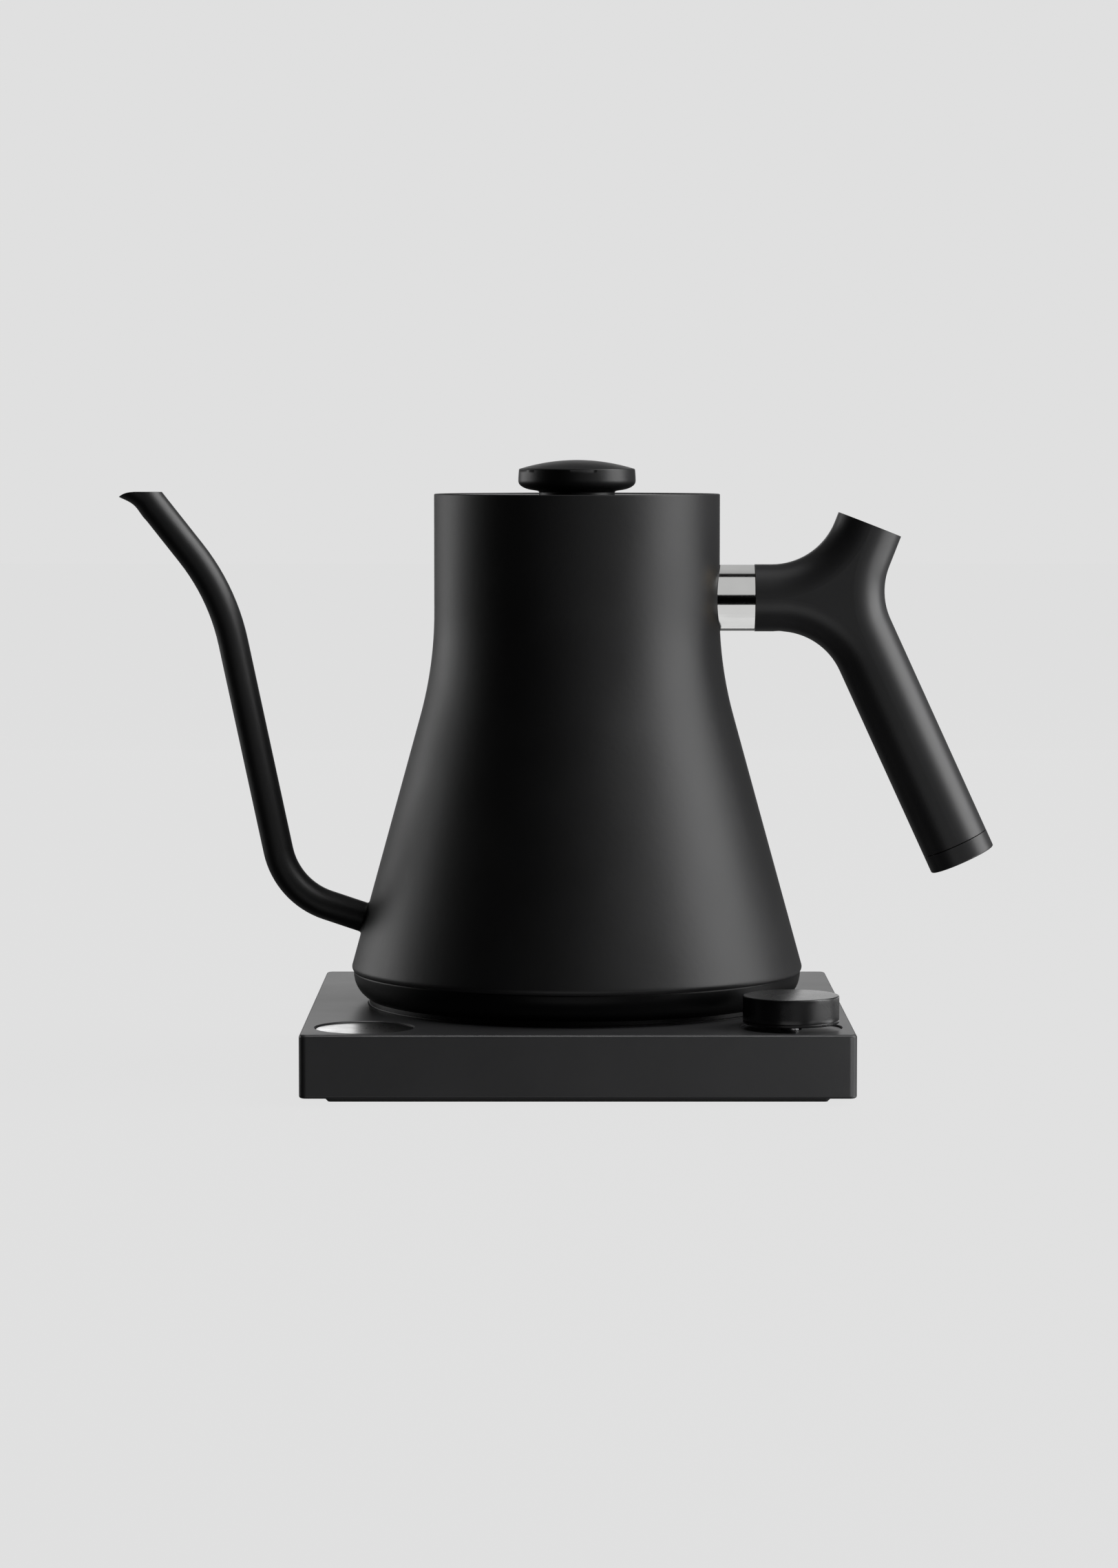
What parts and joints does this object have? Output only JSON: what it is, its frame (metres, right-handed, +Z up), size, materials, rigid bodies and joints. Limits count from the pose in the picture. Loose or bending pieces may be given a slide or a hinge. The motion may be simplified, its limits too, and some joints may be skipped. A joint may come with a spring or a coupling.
{
  "type": "electric kettle",
  "caption": "Gooseneck electric kettle with a flared matt body and an angled handle, lifting off a square power base that has a round display and a turning, pressing dial.",
  "frame": {"origin": "on the vessel's axis, on the surface that the base stands on", "axes": "+Z up, the spout points to -X and the handle to +X, the display and the dial are at the front at -Y"},
  "size_m": [0.2909, 0.178, 0.2032],
  "materials": {
    "matt_coat": "fine-textured matt black powder coat",
    "grip_black": "fine matt texture",
    "post_polish": "polished",
    "inner_steel": "fine brushed",
    "plug_black": "smooth",
    "seal_silicone": "soft satin",
    "sole_rubber": "fine grained",
    "base_black": "fine matt texture",
    "dish_black": "satin",
    "coupling_black": "satin gloss",
    "knob_black": "matt",
    "dial_black": "matt",
    "display_black": "glossy",
    "plate_aluminium": "rolled",
    "element_sheath": "heat-tinted",
    "contact_brass": "plain",
    "fastener_steel": "zinc plated",
    "board_green": "solder-masked",
    "component_black": "plain",
    "component_blue": "plain",
    "component_yellow": "taped",
    "encoder_white": "plain",
    "shaft_aluminium": "turned"
  },
  "bodies": {
    "base": {"base_housing": "base_black", "landing_ring": "dish_black", "base_bottom_cover": "base_black", "base_sole": "sole_rubber", "base_screws": "fastener_steel", "cord_gland": "coupling_black", "coupler_tower": "coupling_black", "tower_contacts": "contact_brass", "power_board": "board_green", "control_board": "board_green", "board_screws": "fastener_steel", "relay": "component_blue", "transformer": "component_yellow", "capacitor": "component_yellow", "terminal_block": "coupling_black", "buzzer": "component_black", "display_lens": "display_black", "display_module": "component_black", "encoder_body": "component_black"},
    "washer": {"tower_washer": "seal_silicone"},
    "kettle": {"vessel_body": "matt_coat", "spout": "matt_coat", "lid_seat_ring": "inner_steel", "vessel_floor": "inner_steel", "heat_plate": "plate_aluminium", "heating_element": "element_sheath", "thermal_cutouts": "plate_aluminium", "temperature_probe": "inner_steel", "probe_seal": "seal_silicone", "cover_posts": "fastener_steel", "cover_screws": "fastener_steel", "vessel_bottom_cover": "dish_black", "coupler_cup": "coupling_black", "coupler_contacts": "contact_brass", "handle_post": "post_polish", "handle_stud": "fastener_steel", "handle_insert": "contact_brass", "handle_set_screw": "fastener_steel", "handle_grip": "grip_black", "handle_end_cap": "grip_black", "grip_weight": "fastener_steel"},
    "lid": {"lid_disc": "matt_coat", "lid_plug": "plug_black", "lid_seal": "seal_silicone", "lid_bottom_plate": "inner_steel", "lid_screw": "fastener_steel", "lid_knob": "knob_black", "knob_insert": "contact_brass"},
    "encoder_wheel": {"encoder_rotor": "encoder_white"},
    "dial": {"dial_shaft": "shaft_aluminium", "dial_knob": "dial_black"}
  },
  "joints": [
    {"name": "kettle_swivel", "type": "hinge", "parent": "base", "child": "washer", "pos_m": [0, 0, 0.0224], "axis": [0, 0, 1], "continuous": true},
    {"name": "kettle_lift", "type": "slide", "parent": "washer", "child": "kettle", "axis": [0, 0, 1], "range_m": [0, 0.06]},
    {"name": "lid_lift", "type": "slide", "parent": "kettle", "child": "lid", "axis": [0, 0, 1], "range_m": [0, 0.04]},
    {"name": "dial_turn", "type": "hinge", "parent": "base", "child": "encoder_wheel", "pos_m": [0.06817, -0.06817, 0.0224], "axis": [0, 0, 1], "continuous": true},
    {"name": "dial_press", "type": "slide", "parent": "encoder_wheel", "child": "dial", "axis": [0, 0, -1], "range_m": [0, 0.0008], "stiffness_N_per_m": 2500, "springref_m": -0.0004}
  ]
}
